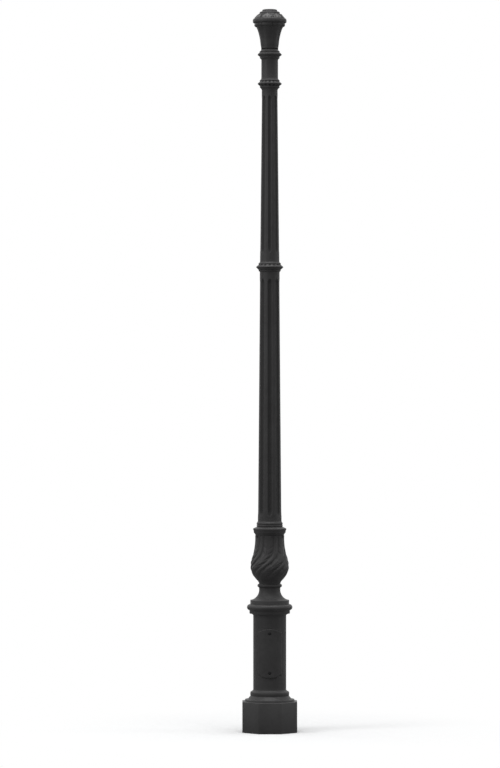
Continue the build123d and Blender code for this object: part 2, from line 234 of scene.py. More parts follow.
# painted shade in the scallop grooves of the crown
crown_shade = 0.7
roll_foot_inset = 0.002
roll_height = 0.0205
roll_radius = 0.0769
roll_shoulder = 0.0044
roll_shoulder_round = 0.0018
roll_belly = 0.0006
dome_foot_radius = 0.0685
dome_head_radius = 0.046
dome_height = 0.024
button_height = 0.018
button_round = 0.0022
button_foot_radius = 0.0415
button_foot_height = 0.0075
button_disc_radius = 0.0345
button_step_height = 0.0025
button_face_radius = 0.028
petal_columns = 20
petal_rows = 18
petal_sink = 0.0006
petal_thickness = 0.0042
petal_edge = 0.0024
# painted highlight on the front petals of the dome, painted shade on the petals behind
petal_highlight = 0.52
petal_shade = 0.60
petal_point = 0.62
petal_swell = 0.55
petal_rim = (0.45, 0.80)
petal_field = 0.45
petal_vein_width = 0.10
petal_vein_height = 0.4
petal_foot = 0.07
petal_tip = 0.95
front_petal_reach = 0.86
front_petal_fullness = 0.95
back_petal_fullness = 0.90
lantern_hole = 0.012
lantern_hole_length = 0.034

# Inspection door and its opening in the column
door_foot = 0.248
door_height = 0.228
door_width = 0.112
door_rise = 0.018
door_gap = 0.0008
door_ledge = 0.008
door_seat_clearance = 0.0003
door_thickness = 0.009
door_proud = 0.004
door_edge = 0.0034
door_rows = 23
door_columns = 41
door_arch_steps = 25
rim_row = 0.0008
screw_inset = 0.024
screw_head_radius = 0.00525
screw_head_height = 0.0033
screw_head_side = 0.000825
screw_head_crown = 0.0006
screw_top_radius = 0.00248
screw_radius = 0.003
screw_length = 0.018
screw_hex = 0.004
screw_hex_depth = 0.002
counterbore_radius = 0.0072
counterbore_depth = 0.0042

# Levels, from the ground up
column_foot = plinth_height + step_height + slope_height + foot_ring_height + shoulder_height
column_head = column_foot + column_height
cap_head = column_head + cavetto_height + band_height + torus_height + cap_height
vase_foot = cap_head + cove_height + neck_below_ring + neck_ring_height
vase_head = vase_foot + vase_stations[-1][0]
base_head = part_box("base_casting")[1][2]
shaft_foot = base_head + 2 * foot_bead_height + foot_cove_height
middle_collar_foot = shaft_foot + shaft_lower_length
middle_collar_head = middle_collar_foot + sum(middle_collar_heights)
shaft_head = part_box("shaft")[1][2]
top_collar_foot = shaft_head - sum(top_collar_heights)
neck_collar_head = top_collar_foot - neck_plain_length
neck_collar_foot = neck_collar_head - sum(neck_collar_heights)
bell_foot = shaft_head + joint_height
crown_foot = bell_foot + bell_stations[-1][0] - crown_lap
roll_foot = crown_foot + crown_height
dome_foot = roll_foot + roll_height

# Finish of the iron: paint, specks, painted shade in the hollows, rubbed edges, painted shade in the carving
# and painted highlight on raised parts
paint_dark = (0.0380, 0.0370, 0.0375)
paint_light = (0.0540, 0.0530, 0.0535)
speck_colour = (0.075, 0.074, 0.074, 1.0)
# painted shade in the hollows
hollow_shade_colour = (0.006, 0.006, 0.0065, 1.0)
rubbed_colour = (0.120, 0.118, 0.118, 1.0)
# colours of painted shade in the carving and painted highlight on raised parts
painted_shade_colour = (0.005, 0.005, 0.005, 1.0)
highlight_colour = (0.170, 0.168, 0.166, 1.0)
paint_specular = 0.18
swell_height = 0.0012
pit_height = 0.00034
grain_height = 0.00012

# Other finishes
# near-black painted shade in the joint under the bell
joint_shade_dark = (0.0020, 0.0020, 0.0020)
joint_shade_light = (0.0060, 0.0058, 0.0056)
blackened_colour = (0.035, 0.035, 0.037)
brass_colour = (0.42, 0.28, 0.10)

# Floor: half its width, its shade in bounced light and for the camera, and where it fades to white
floor_reach = 30.0
floor_bounced = (0.30, 0.30, 0.30, 1.0)
floor_seen = (0.90, 0.90, 0.90, 1.0)
floor_fade = (0.35, 1.3)

# Light all round, and the lamps: place, height of the point they face, size and power in watts
world_colour = (0.94, 0.97, 1.0, 1.0)
world_strength = 0.16
lamps = {
    "key_left": ((-5.0, -3.0, 4.5), 1.6, (2.0, 4.5), 120),
    "fill_right": ((5.5, -0.5, 2.5), 1.6, (1.5, 4.5), 40),
    "sky": ((0.0, -1.5, 16.0), 1.0, (10.0, 10.0), 2300),
}

# Camera: level and far off, with the pole a little right of the middle
camera_distance = 17.0
camera_height = 1.589
camera_offset = -0.090
frame_height = 3.509


class Profile:
    """Half of a turned form, traced upwards: radius against height."""

    def __init__(self, radius, height):
        self.points = [(radius, height)]

    def to(self, radius, rise, bulge=0.0):
        """Run on to a radius and up by a rise; a bulge pushes the middle of the run outwards."""
        start = self.points[-1]
        across = radius - start[0]
        chord = math.hypot(across, rise)
        if bulge == 0.0 or chord == 0.0:
            self.points.append((radius, start[1] + rise))
            return
        half_turn = 2 * math.atan2(2 * abs(bulge), chord)
        steps = max(2, math.ceil(2 * math.degrees(half_turn) / round_step))
        for i in range(1, steps + 1):
            turn = half_turn * (2 * i / steps - 1)
            along = (1 + math.sin(turn) / math.sin(half_turn)) / 2
            swell = (math.cos(turn) - math.cos(half_turn)) / math.sin(half_turn)
            swell *= math.copysign(0.5, bulge)
            out = start[0] + across * along + swell * rise
            up = start[1] + rise * along - swell * across
            self.points.append((out, up))

    def softened(self, softness=edge_softness):
        """The same line with its corners eased, as on a casting."""
        points = [Vector(point) for point in self.points]
        line = [points[0]]
        for before, corner, after in zip(points, points[1:], points[2:]):
            back, ahead = before - corner, after - corner
            if back.length == 0.0 or ahead.length == 0.0 or math.degrees(back.angle(ahead)) > smooth_corner:
                line.append(corner)
                continue
            near = min(softness, back.length / 2, ahead.length / 2)
            first = corner + back.normalized() * near
            last = corner + ahead.normalized() * near
            line += [first, corner.lerp((first + last) / 2, corner_pull), last]
        return line + [points[-1]]


def turned(line, steps=turn_steps):
    """Closed form: a line of radii and heights turned round Z."""
    bm = bmesh.new()
    # per point share of painted shade where it is positive and painted highlight where it is negative
    bm.verts.layers.float.new("painted_shading")
    corners = [bm.verts.new((radius, 0.0, height)) for radius, height in line]
    if line[0][0] > 0:
        corners.insert(0, bm.verts.new((0.0, 0.0, line[0][1])))
    if line[-1][0] > 0:
        corners.append(bm.verts.new((0.0, 0.0, line[-1][1])))
    edges = [bm.edges.new(pair) for pair in zip(corners, corners[1:])]
    bmesh.ops.spin(
        bm,
        geom=corners + edges,
        cent=(0, 0, 0),
        axis=(0, 0, 1),
        angle=2 * math.pi,
        steps=steps,
        use_merge=True,
        use_duplicate=False,
    )
    bmesh.ops.remove_doubles(bm, verts=bm.verts, dist=weld_distance)
    bmesh.ops.recalc_face_normals(bm, faces=bm.faces)
    return bm


def at(radius, angle, height):
    """Point at a radius and an angle round the pole."""
    turn = math.radians(angle)
    return Vector((radius * math.sin(turn), -radius * math.cos(turn), height))


def angle_of(point):
    """Angle of a point round the pole."""
    return math.degrees(math.atan2(point.x, -point.y))


def smooth_step(low, high, value):
    """Eased rise from 0 at the low end to 1 at the high end."""
    share = min(1.0, max(0.0, (value - low) / (high - low)))
    return share * share * (3 - 2 * share)


def between(stations, height):
    """Values of a table of stations at a height, eased through its rows."""
    rows = [stations[0]] + list(stations) + [stations[-1]]
    for i in range(1, len(rows) - 2):
        if height <= rows[i + 1][0] or i == len(rows) - 3:
            break
    share = (height - rows[i][0]) / (rows[i + 1][0] - rows[i][0])
    share = min(1.0, max(0.0, share))
    found = []
    for before, low, high, after in zip(rows[i - 1][1:], rows[i][1:], rows[i + 1][1:], rows[i + 2][1:]):
        slope_low = (high - before) / 2
        slope_high = (after - low) / 2
        cubic = (2 * share**3 - 3 * share**2 + 1) * low + (share**3 - 2 * share**2 + share) * slope_low
        cubic += (3 * share**2 - 2 * share**3) * high + (share**3 - share**2) * slope_high
        found.append(cubic)
    return found


def joined(*parts):
    """One mesh out of several closed forms."""
    whole = bmesh.new()
    whole.verts.layers.float.new("painted_shading")
    for part in parts:
        mesh = bpy.data.meshes.new("part")
        part.to_mesh(mesh)
        part.free()
        whole.from_mesh(mesh)
        bpy.data.meshes.remove(mesh)
    return whole


def piece(name, bm, material, sharp=sharp_angle):
    """Object made from a mesh, smooth but for its sharp edges."""
    mesh = bpy.data.meshes.new(name)
    bm.to_mesh(mesh)
    bm.free()
    mesh.shade_smooth()
    mesh.set_sharp_from_angle(angle=math.radians(sharp))
    mesh.materials.append(material)
    made = bpy.data.objects.new(name, mesh)
    bpy.context.scene.collection.objects.link(made)
    return made


def eased(bm, edges, offset):
    """Round the given edges of a closed form."""
    bmesh.ops.bevel(
        bm,
        geom=edges,
        offset=offset,
        segments=3,
        profile=0.5,
        affect="EDGES",
        material=-1,
        clamp_overlap=True,
    )


def octagonal_plinth():
    """Eight-sided plinth with eased edges."""
    corner_radius = plinth_flats / 2 / math.cos(math.pi / plinth_sides)
    lifted = Matrix.Translation((0, 0, plinth_height / 2))
    bm = bmesh.new()
    bmesh.ops.create_cone(
        bm,
        cap_ends=True,
        segments=plinth_sides,
        radius1=corner_radius,
        radius2=corner_radius,
        depth=plinth_height,
        matrix=lifted @ Matrix.Rotation(math.pi / plinth_sides, 4, "Z"),
    )
    eased(bm, bm.edges[:], plinth_edge)
    return bm


def base_profile():
    """Turned stack from the step on the plinth up to the neck ring."""
    step_radius = plinth_flats / 2 - step_setback
    line = Profile(step_radius, plinth_height - plinth_edge)
    line.to(step_radius, plinth_edge + step_height)
    line.to(plinth_flats / 2 - slope_setback, 0)
    line.to(column_radius + foot_ring_overhang, slope_height)
    line.to(column_radius + foot_ring_overhang, foot_ring_height, foot_ring_round)
    line.to(column_radius, shoulder_height, -foot_ring_round)
    for _ in range(column_rows):
        line.to(column_radius, column_height / column_rows)
    line.to(column_radius + cavetto_overhang, cavetto_height, -cavetto_hollow)
    line.to(column_radius + cavetto_overhang, band_height)
    line.to(column_radius + cavetto_overhang, torus_height, torus_round)
    line.to(column_radius + cap_overhang, 0)
    line.to(column_radius + cap_overhang, cap_height - cap_round)
    line.to(column_radius + cap_overhang - cap_round, cap_round, cap_round / 4)
    line.to(column_radius + cap_overhang - cap_round - cove_foot_inset, 0)
    line.to(neck_radius, cove_height, -cove_hollow)
    line.to(neck_radius, neck_below_ring)
    line.to(neck_radius, neck_ring_height, neck_ring_round)
    return line.softened()


def leaf_relief(angle, turn, depth, rise):
    """Depth of the vase's carving at an angle: veined leaves with lobes, and ribs between them."""
    pitch = 360 / leaf_count
    across = (angle - turn + leaf_span / 2) % pitch
    if across >= leaf_span:
        share = (across - leaf_span) / (pitch - leaf_span)
        return depth * (1 - rib_height * math.sin(math.pi * share) ** rib_fullness)
    share = across / leaf_span
    side = abs(2 * share - 1)
    swell = math.sin(math.pi * share) ** leaf_fullness
    vein = 0.5 - 0.5 * math.cos(2 * math.pi * leaf_veins * share)
    notch = (0.5 + 0.5 * math.cos(2 * math.pi * (rise / leaf_lobe - leaf_lobe_sweep * side))) ** 3
    lobes = leaf_notch * notch * side * (1 - side**4)
    carved = smooth_step(*leaf_belly, rise) * (1 - smooth_step(*leaf_tip, rise))
    return depth * (1 - swell + carved * (leaf_vein_depth * vein * swell + lobes))


def vase():
    """Vase with leaves that turn round its belly and straighten under the rim."""
    rows = round(vase_stations[-1][0] / vase_row)
    line = [Vector((neck_radius, vase_foot + vase_stations[-1][0] * i / rows)) for i in range(rows + 1)]
    bm = turned(line, steps=leaf_count * vase_columns)
    painted_shading = bm.verts.layers.float["painted_shading"]
    for vert in bm.verts:
        rise = vert.co.z - vase_foot
        radius, depth, turn = between(vase_stations, rise)
        if math.hypot(vert.co.x, vert.co.y) < neck_radius / 2:
            continue
        angle = angle_of(vert.co)
        relief = leaf_relief(angle, turn, depth, rise)
        # painted shade where the carving is deep
        vert[painted_shading] = vase_shade * smooth_step(0.35, 1.0, relief / max(depth, 0.001)) * depth / vase_depth
        vert.co = at(radius - relief, angle, vert.co.z)
    return bm


def vase_rim():
    """Rim of the vase, with its small hollow and its flare."""
    line = Profile(vase_stations[-1][1] - rim_lip, vase_head - rim_lip)
    line.to(rim_radius - rim_overhang, rim_cavetto_height, -rim_cavetto_hollow)
    line.to(rim_radius - rim_overhang, rim_band_height)
    line.to(rim_radius, rim_flare_height)
    line.to(rim_radius, rim_edge_height)
    line.to(foot_bead_radius, rim_slope_height)
    return turned(line.softened())


def sliced(bm, point, normal):
    """New edges where a plane meets a form."""
    everything = bm.verts[:] + bm.edges[:] + bm.faces[:]
    bmesh.ops.bisect_plane(bm, geom=everything, plane_co=point, plane_no=normal)


def slice_level(target, level):
    """Row of points right round an object at one height."""
    bm = bmesh.new()
    bm.from_mesh(target.data)
    sliced(bm, (0, 0, level), (0, 0, 1))
    bm.to_mesh(target.data)
    bm.free()


def hole_cutter(sides, radius, depth, reach, angle, level):
    """Prism that sinks to a depth in a surface at a reach from the axis of the pole."""
    place = Matrix.Rotation(math.radians(angle), 4, "Z") @ Matrix.Translation((0, -reach, level))
    bm = bmesh.new()
    bmesh.ops.create_cone(
        bm,
        cap_ends=True,
        segments=sides,
        radius1=radius,
        radius2=radius,
        depth=2 * depth,
        matrix=place @ Matrix.Rotation(math.pi / 2, 4, "X"),
    )
    return bm


def set_screw_holes(iron):
    """Cutters for the screws that lock the shaft in the vase."""
    holes = []
    for number in range(set_screw_count):
        angle = set_screw_first + 360 / set_screw_count * number
        level = vase_head - set_screw_drop
        reach = vase_stations[-1][1]
        form = hole_cutter(fitting_steps, set_screw_hole_radius, set_screw_hole_depth, reach, angle, level)
        holes.append(piece("set_screw_hole", form, iron))
    return holes


def base_casting(iron):
    """Plinth, mouldings, column with the opening for its door, vase and rim, cast as one."""
    column = piece("column", turned(base_profile()), iron)
    seat = column_radius + door_proud - door_thickness
    recess = curved_plate(0, seat - door_seat_clearance, column_radius + 2 * door_proud, 0)
    doorway = curved_plate(door_ledge, column_radius - 2 * column_wall, column_radius + door_proud, 0)
    for level in (door_foot - rim_row, door_foot + door_height + rim_row):
        slice_level(column, level)
    cut(column, [piece("recess", recess, iron), piece("doorway", doorway, iron)])
    parts = [column]
    for name, form in (("vase", vase()), ("rim", vase_rim())):
        part = piece(name, form, iron)
        cut(part, set_screw_holes(iron))
        parts.append(part)
    forms = [octagonal_plinth()]
    for part in parts:
        form = bmesh.new()
        form.from_mesh(part.data)
        bpy.data.objects.remove(part)
        forms.append(form)
    return piece("base_casting_cast", joined(*forms), iron)


def flute_edge(half, cutter, surface, beyond):
    """Half width of a flute on the shaft's surface, beyond the centre of its rounded end."""
    chord = math.sqrt(surface**2 - half**2)
    stand_off = math.sqrt(cutter**2 - half**2)
    low, high = 0.0, half
    for _ in range(24):
        middle = (low + high) / 2
        reach = cutter**2 - middle**2 - beyond**2
        sunk_to = chord + stand_off - math.sqrt(max(0.0, reach))
        if reach > 0 and sunk_to < math.sqrt(surface**2 - middle**2):
            low = middle
        else:
            high = middle
    return low


class FluteRun:
    """Ring of round-ended flutes between two heights on a tapering shaft."""

    def __init__(self, low, high, low_surface, width, depth):
        self.half = width / 2
        self.low = low + self.half * flute_end_length
        self.high = high - self.half * flute_end_length
        chord = math.sqrt(low_surface**2 - self.half**2)
        sagitta = depth - (low_surface - chord)
        self.cutter = (self.half**2 + sagitta**2) / (2 * sagitta)

    def rows(self):
        """Heights that the mesh needs: close together at the ends, far apart between them."""
        run = self.half * flute_end_length * flute_end_margin
        ends = [run * math.sin(math.pi / 2 * i / flute_end_rows) for i in range(flute_end_rows, 0, -1)]
        count = max(1, round((self.high - self.low) / flute_row))
        middle = [self.low + (self.high - self.low) * i / count for i in range(count + 1)]
        return [self.low - end for end in ends] + middle + [self.high + end for end in reversed(ends)]

    def carve(self, point):
        """Where a point of the plain shaft goes when the flutes are cut."""
        beyond = max(0.0, self.low - point.z, point.z - self.high) / flute_end_length
        if beyond > flute_run_out * self.half:
            return point
        surface = math.hypot(point.x, point.y)
        pitch = 360 / flute_count
        angle = angle_of(point)
        centre = pitch * round(angle / pitch)
        step = (angle - centre) * (flute_columns + land_columns) / pitch
        edge = max(flute_tip_width * self.half, flute_edge(self.half, self.cutter, surface, beyond))
        edge_angle = math.degrees(math.asin(edge / surface))
        in_flute = flute_columns / 2
        if abs(step) <= in_flute:
            turned_to = edge_angle * step / in_flute
        else:
            share = (abs(step) - in_flute) / (land_columns / 2)
            turned_to = math.copysign(edge_angle + (pitch / 2 - edge_angle) * share, step)
        lateral = surface * math.sin(math.radians(turned_to))
        reach = self.cutter**2 - lateral**2 - beyond**2
        radial = surface * math.cos(math.radians(turned_to))
        if reach > 0:
            chord = math.sqrt(surface**2 - self.half**2)
            stand_off = math.sqrt(self.cutter**2 - self.half**2)
            radial = min(radial, chord + stand_off - math.sqrt(reach))
        flute_angle = centre + math.degrees(math.atan2(lateral, radial))
        return at(math.hypot(lateral, radial), flute_angle, point.z)


def flute_runs():
    """The two lengths of flutes, below and above the middle collar."""
    lower = FluteRun(
        shaft_foot + lower_flute_margins[0],
        middle_collar_foot - lower_flute_margins[1],
        shaft_foot_radius,
        lower_flute_width,
        lower_flute_depth,
    )
    upper = FluteRun(
        middle_collar_head + upper_flute_margins[0],
        neck_collar_foot - upper_flute_margins[1],
        shaft_middle_high_radius,
        upper_flute_width,
        upper_flute_depth,
    )
    return lower, upper


def add_collar(line, radii, heights, next_radius):
    """Collar on the shaft: hollow, under ring, flare, bead, slope, upper ring and hollow."""
    under_radius, bead_radius, ring_radius = radii
    hollow, under, flare, bead, slope, ring, upper = heights
    line.to(under_radius, hollow, -collar_hollow)
    line.to(under_radius, under, collar_round)
    line.to(bead_radius, flare)
    line.to(bead_radius, bead, collar_round)
    line.to(ring_radius, slope)
    line.to(ring_radius, ring, collar_round)
    line.to(next_radius, upper, -collar_hollow)


def add_taper(line, end_radius, end_height, heights):
    """Tapering length of the shaft with a row of points at each height."""
    start_radius, start_height = line.points[-1]
    for height in heights + [end_height]:
        share = (height - start_height) / (end_height - start_height)
        line.to(start_radius + (end_radius - start_radius) * share, height - line.points[-1][1])


def shaft_line(lower, upper):
    """Profile of the shaft, from the spigot in the vase up to the joint under the bell."""
    line = Profile(spigot_radius, base_head - spigot_length)
    line.to(spigot_radius, spigot_length)
    line.to(foot_bead_radius - foot_bead_round, 0)
    line.to(foot_bead_radius - foot_bead_round, foot_bead_height, foot_bead_round)
    line.to(foot_bead_radius - foot_bead_round, foot_bead_height, foot_bead_round)
    line.to(shaft_foot_radius, foot_cove_height, -foot_cove_hollow)
    add_taper(line, shaft_middle_low_radius, middle_collar_foot, lower.rows())
    add_collar(line, middle_collar_radii, middle_collar_heights, shaft_middle_high_radius)
    add_taper(line, shaft_head_radius, neck_collar_foot, upper.rows())
    add_collar(line, neck_collar_radii, neck_collar_heights, neck_plain_radius)
    line.to(neck_plain_radius, neck_plain_length)
    add_collar(line, top_collar_radii, top_collar_heights, bell_stations[0][1])
    return line.softened()


def lobed_members():
    """Members of the collars that have small round lobes: foot, height and painted highlight on the lobes."""
    flare_foot = neck_collar_foot + sum(neck_collar_heights[:2])
    slope_foot = flare_foot + sum(neck_collar_heights[2:4])
    middle_slope_foot = middle_collar_foot + sum(middle_collar_heights[:4])
    return (
        (flare_foot, neck_collar_heights[2], 0.0),
        (slope_foot, neck_collar_heights[4], gadroon_highlight),
        (middle_slope_foot, middle_collar_heights[4], gadroon_highlight / 2),
    )


def carve_lobes(vert, painted_shading, members):
    """Move a point of a collar to its small round lobes, with painted highlight on top and painted shade
    between them.
    """
    for foot, height, painted_light in members:
        if not 0 <= (vert.co.z - foot) / height <= 1:
            continue
        angle = angle_of(vert.co)
        lobe = abs(math.sin(math.radians(angle * gadroon_count / 2)))
        between_lobes = gadroon_shade * (1 - smooth_step(0.2, 0.8, lobe))
        # painted shade between the lobes, painted highlight on their tops
        vert[painted_shading] = between_lobes - painted_light * smooth_step(0.5, 0.9, lobe)
        radius = math.hypot(vert.co.x, vert.co.y) - gadroon_depth * (1 - lobe)
        vert.co = at(radius, angle, vert.co.z)


def carve_flute(vert, painted_shading, run, full_depth):
    """Move a point of the plain shaft to its place in a flute, with painted shade where it is deep."""
    plain = math.hypot(vert.co.x, vert.co.y)
    vert.co = run.carve(vert.co)
    sunk = plain - math.hypot(vert.co.x, vert.co.y)
    # painted shade in the flute
    vert[painted_shading] = flute_shade * smooth_step(0.0, flute_dark_share, sunk / full_depth)


def shaft(iron):
    """Fluted shaft with its foot ring and its three collars."""
    lower, upper = flute_runs()
    members = lobed_members()
    bm = turned(shaft_line(lower, upper), steps=flute_count * (flute_columns + land_columns))
    painted_shading = bm.verts.layers.float["painted_shading"]
    for vert in bm.verts:
        carve_lobes(vert, painted_shading, members)
        if shaft_foot < vert.co.z < middle_collar_foot:
            carve_flute(vert, painted_shading, lower, lower_flute_depth)
        elif middle_collar_head < vert.co.z < neck_collar_foot:
            carve_flute(vert, painted_shading, upper, upper_flute_depth)
    return piece("shaft_cast", bm, iron)


def petal_share(angle):
    """Place across a leaf of the capital, from 0 at one side to 1 at the other."""
    pitch = 360 / petal_count
    return ((angle - capital_turn + pitch / 2) % pitch) / pitch


def bell():
    """Bell of eight long leaves that stand side by side."""
    rows = round(bell_stations[-1][0] / bell_row)
    line = [Vector((neck_plain_radius, bell_foot + bell_stations[-1][0] * i / rows)) for i in range(rows + 1)]
    bm = turned(line, steps=petal_count * petal_columns)
    for vert in bm.verts:
        if math.hypot(vert.co.x, vert.co.y) < neck_plain_radius / 2:
            continue
        radius, depth = between(bell_stations, vert.co.z - bell_foot)
        angle = angle_of(vert.co)
        share = petal_share(angle)
        relief = depth * (1 - math.sin(math.pi * share) ** bell_fullness)
        vein = bell_vein * depth * math.exp(-((share - 0.5) / bell_vein_width) ** 2)
        vert.co = at(radius - relief - vein, angle, vert.co.z)
    return bm


def scalloped(line, groove, low, high):
    """Turned ring whose edge swells in scallops between two heights, with painted shade where the grooves are
    deep.
    """
    bm = turned(line, steps=petal_count * petal_columns)
    painted_shading = bm.verts.layers.float["painted_shading"]
    for vert in bm.verts:
        radius = math.hypot(vert.co.x, vert.co.y)
        if radius < crown_radius / 2:
            continue
        angle = angle_of(vert.co)
        relief = groove * (1 - math.sin(math.pi * petal_share(angle)) ** bell_fullness)
        relief *= smooth_step(low, high, radius)
        # painted shade in the grooves
        vert[painted_shading] = crown_shade * smooth_step(0.35, 1.0, relief / crown_groove)
        vert.co = at(radius - relief, angle, vert.co.z)
    return bm


def crown():
    """Scalloped ring where the leaves of the bell curl over."""
    line = Profile(crown_radius - crown_underside, crown_foot)
    line.to(crown_radius - crown_round / 4, crown_curl, crown_round / 3)
    line.to(crown_radius - crown_round / 4, crown_height - crown_curl - crown_round, crown_round / 4)
    line.to(crown_radius - crown_round, crown_round, crown_round / 4)
    return scalloped(line.softened(), crown_groove, crown_radius / 2, crown_radius - crown_underside / 2)


def roll():
    """Roll, dome and stepped button, with the hole that takes the lantern."""
    button_face_rise = button_height - button_foot_height - 2 * button_step_height
    line = Profile(crown_radius - roll_foot_inset, roll_foot - crown_round / 2)
    line.to(crown_radius - roll_foot_inset, crown_round / 2)
    line.to(roll_radius, roll_shoulder, roll_shoulder_round)
    line.to(roll_radius, roll_height - 2 * roll_shoulder, roll_belly)
    line.to(dome_foot_radius, roll_shoulder, roll_shoulder_round)
    line.to(dome_head_radius, dome_height)
    line.to(button_foot_radius, button_foot_height, button_round)
    line.to(button_disc_radius, button_step_height)
    line.to(button_disc_radius - button_round / 4, button_face_rise)
    line.to(button_face_radius, button_step_height, button_round / 6)
    line.to(lantern_hole, 0)
    line.to(lantern_hole, -lantern_hole_length)
    return scalloped(line.softened(), crown_groove / 3, dome_foot_radius, roll_radius)


def petal_half_width(share):
    """Half width of a petal of the dome, from its foot at 0 to its tip at 1."""
    return (1 - share) ** petal_point * (1 + petal_swell * share)


def petal_lift(across, share, side):
    """How far a petal stands off the dome at a point, as a share of its thickness."""
    rim = smooth_step(*petal_rim, abs(across)) * (1 - petal_field)
    vein = petal_vein_height * math.exp(-((across / petal_vein_width) ** 2)) * (1 - share)
    body = smooth_step(0.0, petal_edge, side) * (petal_field + rim + vein)
    return body * smooth_step(0.0, petal_foot, share) * (1 - smooth_step(petal_tip, 1.0, share))


def petal(angle, reach, thickness, fullness, painted_light):
    """Pointed leaf that lies on the dome, with a raised rim, a vein, painted shade along its edge and painted
    light over the rest: highlight for a positive share, shade for a negative one.
    """
    narrowing = dome_foot_radius - dome_head_radius
    slope = math.hypot(dome_height, narrowing)
    out = at(dome_height / slope, 0, narrowing / slope)
    bm = bmesh.new()
    painted_shading = bm.verts.layers.float.new("painted_shading")
    bmesh.ops.create_grid(bm, x_segments=petal_columns, y_segments=petal_rows, size=1.0)
    for vert in bm.verts:
        across, share = vert.co.x, (vert.co.y + 1) / 2
        radius = dome_foot_radius - narrowing * share * reach
        half = 180 / petal_count * fullness * petal_half_width(share)
        side = (1 - abs(across)) * math.radians(half) * radius
        # painted shade along the petal's edge, painted light over the rest
        dark = 1 - smooth_step(0.9 * petal_edge, 1.9 * petal_edge, side)
        vert[painted_shading] = dark - painted_light * (1 - dark)
        lean = Matrix.Rotation(math.radians(across * half), 4, "Z") @ out
        spot = at(radius, across * half, dome_foot + dome_height * share * reach)
        vert.co = spot + lean * (thickness * petal_lift(across, share, side) - petal_sink)
    turn = Matrix.Rotation(math.radians(angle), 3, "Z")
    bmesh.ops.rotate(bm, verts=bm.verts, cent=(0, 0, 0), matrix=turn)
    bmesh.ops.recalc_face_normals(bm, faces=bm.faces)
    return bm


def petal_row(first, *shape):
    """Ring of petals, the first of them at the given angle."""
    return [petal(first + 360 / petal_count * number, *shape) for number in range(petal_count)]


def stem():
    """Neck that joins the capital to the shaft, inside the joint."""
    line = Profile(bell_stations[0][1] - joint_inset, shaft_head)
    line.to(bell_stations[0][1] - joint_inset, 2 * joint_height)
    return turned(line.points)


def joint_shade_ring():
    """Ring of black painted shade packed into the joint between the shaft and the bell."""
    radius = bell_stations[0][1] - shade_ring_inset
    line = Profile(radius, shaft_head + shade_ring_gap)
    line.to(radius, joint_height - 2 * shade_ring_gap)
    bm = turned(line.points)
    for face in bm.faces:
        face.material_index = 1
    return bm


def capital(iron, joint_shade):
    """Stem, bell, crown, roll and dome with its petals, cast as one, with the ring of black painted shade
    under the bell.
    """
    # front petals carry painted highlight, the petals behind carry painted shade
    front = petal_row(capital_turn, front_petal_reach, petal_thickness, front_petal_fullness, petal_highlight)
    first_behind = capital_turn + 180 / petal_count
    behind = petal_row(first_behind, 1.0, petal_thickness / 2, back_petal_fullness, -petal_shade)
    form = joined(stem(), bell(), crown(), roll(), joint_shade_ring(), *front, *behind)
    made = piece("capital_cast", form, iron)
    made.data.materials.append(joint_shade)
    return made


def door_outline(margin):
    """Points of the door's outline, seen from the front."""
    half_width = door_width / 2
    arch = (half_width**2 + door_rise**2) / (2 * door_rise) - margin
    side = half_width - margin
    foot, head = door_foot + margin, door_foot + door_height - margin
    lower = [(side * (2 * i / door_arch_steps - 1), foot) for i in range(door_arch_steps + 1)]
    curve = [arch - math.sqrt(arch**2 - x**2) for x, _ in lower]
    bottom = [(x, foot + rise) for (x, _), rise in zip(lower, curve)]
    top = [(-x, head - rise) for (x, _), rise in zip(lower, curve)]
    return bottom + top


def curved_plate(margin, inner, outer, edge):
    """Plate with the door's outline that follows the round of the column."""
    bm = bmesh.new()
    outline = [bm.verts.new((x, 0.0, z)) for x, z in door_outline(margin)]
    face = bm.faces.new(outline)
    swept = bmesh.ops.extrude_face_region(bm, geom=[face])["geom"]
    front = [item for item in swept if isinstance(item, bmesh.types.BMVert)]
    bmesh.ops.translate(bm, verts=front, vec=(0, -(outer - inner), 0))
    if edge:
        rim = [item for item in bm.edges if all(vert.co.y < -(outer - inner) / 2 for vert in item.verts)]
        eased(bm, rim, edge)
    for i in range(1, door_columns):
        sliced(bm, (door_width / 2 * (2 * i / door_columns - 1), 0, 0), (1, 0, 0))
    for i in range(1, door_rows):
        sliced(bm, (0, 0, door_foot + door_height * i / door_rows), (0, 0, 1))
    for vert in bm.verts:
        radius = inner - vert.co.y
        vert.co.y = -math.sqrt(radius**2 - vert.co.x**2)
    bmesh.ops.recalc_face_normals(bm, faces=bm.faces)
    return bm


def inspection_door(iron):
    """Curved door plate with eased edges and a counterbore for each screw."""
    seat = column_radius + door_proud - door_thickness
    front = column_radius + door_proud
    plate = piece("door_cast", curved_plate(door_gap, seat, front, door_edge), iron, fitting_sharp_angle)
    counterbores = []
    for level in screw_levels():
        slice_level(plate, level - counterbore_radius - rim_row)
        slice_level(plate, level + counterbore_radius + rim_row)
        form = hole_cutter(fitting_steps, counterbore_radius, counterbore_depth, front, 0, level)
        counterbores.append(piece("counterbore", form, iron))
    cut(plate, counterbores)
    return plate


def cut(target, tools):
    """Cut closed forms out of an object and keep the result as its mesh."""
    for tool in tools:
        modifier = target.modifiers.new("cut", "BOOLEAN")
        modifier.object = tool
        modifier.operation = "DIFFERENCE"
        modifier.solver = "EXACT"
    graph = bpy.context.evaluated_depsgraph_get()
    mesh = bpy.data.meshes.new_from_object(target.evaluated_get(graph))
    target.modifiers.clear()
    old = target.data
    target.data = mesh
    bpy.data.meshes.remove(old)
    for tool in tools:
        bpy.data.objects.remove(tool)


def screw_levels():
    """Heights of the two screws of the door."""
    return (door_foot + screw_inset, door_foot + door_height - screw_inset)


